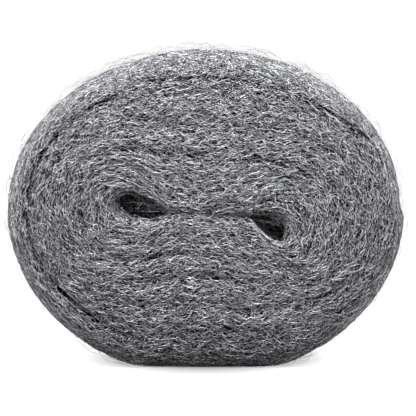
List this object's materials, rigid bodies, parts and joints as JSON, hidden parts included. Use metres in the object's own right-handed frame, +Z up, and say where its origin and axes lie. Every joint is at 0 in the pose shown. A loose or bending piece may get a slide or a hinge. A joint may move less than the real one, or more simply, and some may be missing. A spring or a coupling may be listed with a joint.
{
  "type": "steel wool roll",
  "caption": "Roll of steel wool for scouring and polishing, wound from one strip into a flattened spiral with a two-eyed core, lying on a small flat spot on its rim.",
  "frame": {"origin": "on the surface that the roll lies on, under the middle of its box, in the middle of the flat spot", "axes": "+X along the long diameter of the end, +Y along the axis of the roll, away from the end that the picture shows, +Z up"},
  "size_m": [0.1269, 0.0898, 0.0999],
  "materials": {
    "steel_wool": "bright fine shavings over dark gaps, matt grey from afar"
  },
  "bodies": {
    "root": {"steel_wool_roll": "steel_wool"}
  },
  "joints": []
}
